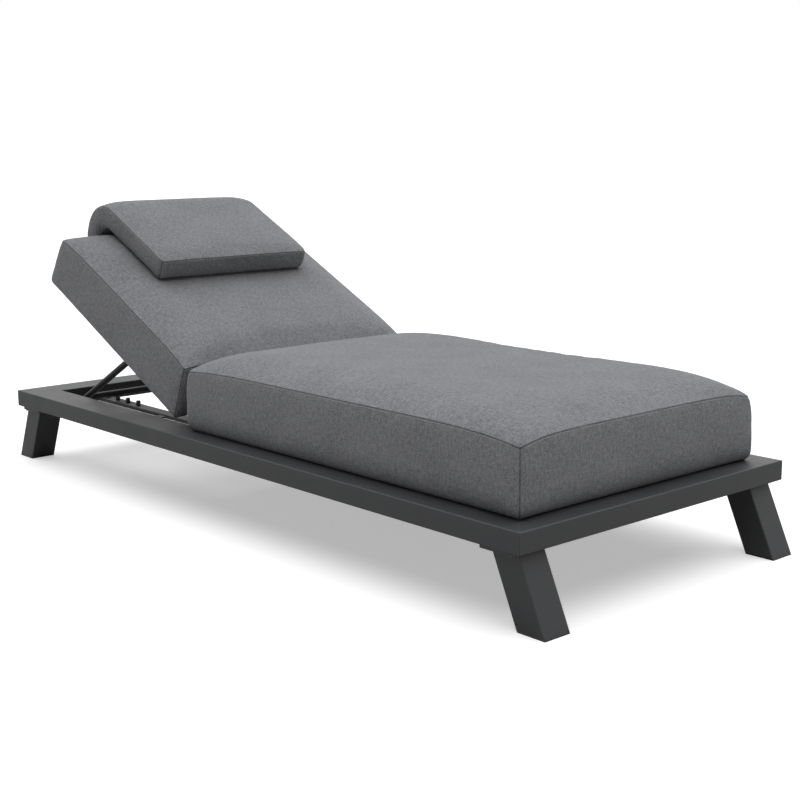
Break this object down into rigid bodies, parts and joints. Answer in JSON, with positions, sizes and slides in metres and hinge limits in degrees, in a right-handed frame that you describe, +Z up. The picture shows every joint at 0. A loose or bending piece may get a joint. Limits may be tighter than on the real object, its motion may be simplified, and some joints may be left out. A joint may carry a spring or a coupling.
{
  "type": "spa relaxation lounger",
  "caption": "Low relaxation lounger: a metal frame on splayed legs, a thick seat cushion, and a hinged padded back with a ratchet prop and a hook-over head pillow.",
  "frame": {"origin": "on the floor under the middle of the frame, between the four feet", "axes": "+Z up, +Y along the lounger towards its head end, +X across it to the right as seen from the foot end"},
  "size_m": [0.836, 2.094, 0.7376],
  "materials": {
    "frame_anthracite": "fine satin powder coat",
    "prop_black": "satin powder coat",
    "fastener_black": "blackened steel",
    "plastic_black": "moulded, fine matt",
    "fabric_grey": "heather grey plain weave upholstery"
  },
  "bodies": {
    "root": {"side_rail_left": "frame_anthracite", "side_rail_right": "frame_anthracite", "foot_rail": "frame_anthracite", "head_rail": "frame_anthracite", "hinge_cross_member": "frame_anthracite", "leg_foot_left": "frame_anthracite", "leg_foot_right": "frame_anthracite", "leg_head_left": "frame_anthracite", "leg_head_right": "frame_anthracite", "leg_plate_foot_left": "frame_anthracite", "leg_plate_foot_right": "frame_anthracite", "leg_plate_head_left": "frame_anthracite", "leg_plate_head_right": "frame_anthracite", "leg_screws_foot_left": "fastener_black", "leg_screws_foot_right": "fastener_black", "leg_screws_head_left": "fastener_black", "leg_screws_head_right": "fastener_black", "foot_cap_foot_left": "plastic_black", "foot_cap_foot_right": "plastic_black", "foot_cap_head_left": "plastic_black", "foot_cap_head_right": "plastic_black", "slat_ledge_left": "frame_anthracite", "slat_ledge_right": "frame_anthracite", "seat_slat_1": "frame_anthracite", "seat_slat_2": "frame_anthracite", "seat_slat_3": "frame_anthracite", "seat_slat_4": "frame_anthracite", "seat_slat_5": "frame_anthracite", "seat_slat_6": "frame_anthracite", "seat_slat_7": "frame_anthracite", "seat_slat_8": "frame_anthracite", "rack_bar_left": "frame_anthracite", "rack_bar_right": "frame_anthracite", "rack_studs_left": "fastener_black", "rack_studs_right": "fastener_black", "back_rest_bracket_left": "frame_anthracite", "back_rest_bracket_right": "frame_anthracite", "hinge_ear_left": "frame_anthracite", "hinge_ear_right": "frame_anthracite", "hinge_bolts": "fastener_black", "hinge_nuts": "fastener_black", "seat_cushion": "fabric_grey"},
    "backrest": {"back_side_tube_left": "frame_anthracite", "back_side_tube_right": "frame_anthracite", "back_low_tube": "frame_anthracite", "back_top_tube": "frame_anthracite", "back_slat_1": "frame_anthracite", "back_slat_2": "frame_anthracite", "back_slat_3": "frame_anthracite", "back_slat_4": "frame_anthracite", "hinge_bushes": "plastic_black", "prop_bolts": "fastener_black", "prop_nuts": "fastener_black", "prop_spacers": "plastic_black", "back_cushion": "fabric_grey"},
    "prop": {"prop_arm_left": "prop_black", "prop_arm_right": "prop_black", "prop_foot_bar": "prop_black", "prop_end_caps": "plastic_black"},
    "pillow": {"head_pillow": "fabric_grey"}
  },
  "joints": [
    {"name": "backrest_recline", "type": "hinge", "parent": "root", "child": "backrest", "pos_m": [0, 0.224, 0.192], "axis": [1, 0, 0], "range_deg": [-25.8, 17.2], "deforming": ["back_cushion"]},
    {"name": "prop_swing", "type": "hinge", "parent": "backrest", "child": "prop", "pos_m": [0, 0.5343, 0.34201], "axis": [1, 0, 0], "range_deg": [-36.4, 54.5]},
    {"name": "pillow_slide", "type": "slide", "parent": "backrest", "child": "pillow", "axis": [0, 0.9003, 0.4352], "range_m": [0, 0.1]}
  ],
  "couplings": [
    {"joint": "prop_swing", "follows": "backrest_recline", "ratio": -2.105}
  ]
}
